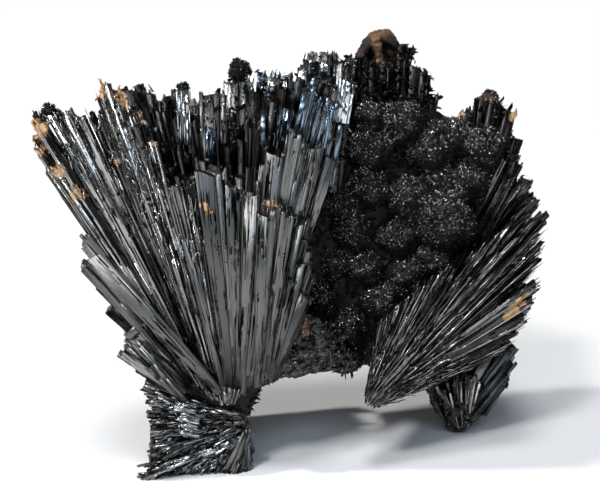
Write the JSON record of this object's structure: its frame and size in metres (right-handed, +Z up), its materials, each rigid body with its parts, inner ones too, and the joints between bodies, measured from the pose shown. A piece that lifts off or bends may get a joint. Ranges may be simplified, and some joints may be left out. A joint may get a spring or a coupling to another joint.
{
  "type": "goethite crystal specimen",
  "caption": "Natural goethite specimen: radiating sprays of black bladed crystals grown together, with a velvety crust in the hollow between them and a brown limonite cap on top.",
  "frame": {"origin": "centre of the bounding box in X and Y, at the height of what the specimen stands on", "axes": "+X to the right along the specimen's longest side, +Y from its face to its back, +Z up"},
  "size_m": [0.091, 0.0446, 0.0771],
  "materials": {
    "goethite": "black, adamantine to sub-metallic, striated along the crystals, with ochre limonite stains on some tips",
    "velvet_goethite": "black, velvety, covered with fine sparkling crystals",
    "limonite": "dull orange brown to dark brown"
  },
  "bodies": {
    "root": {"crystal_mass": "goethite", "velvet_crust": "velvet_goethite", "limonite_cap": "limonite"}
  },
  "joints": []
}
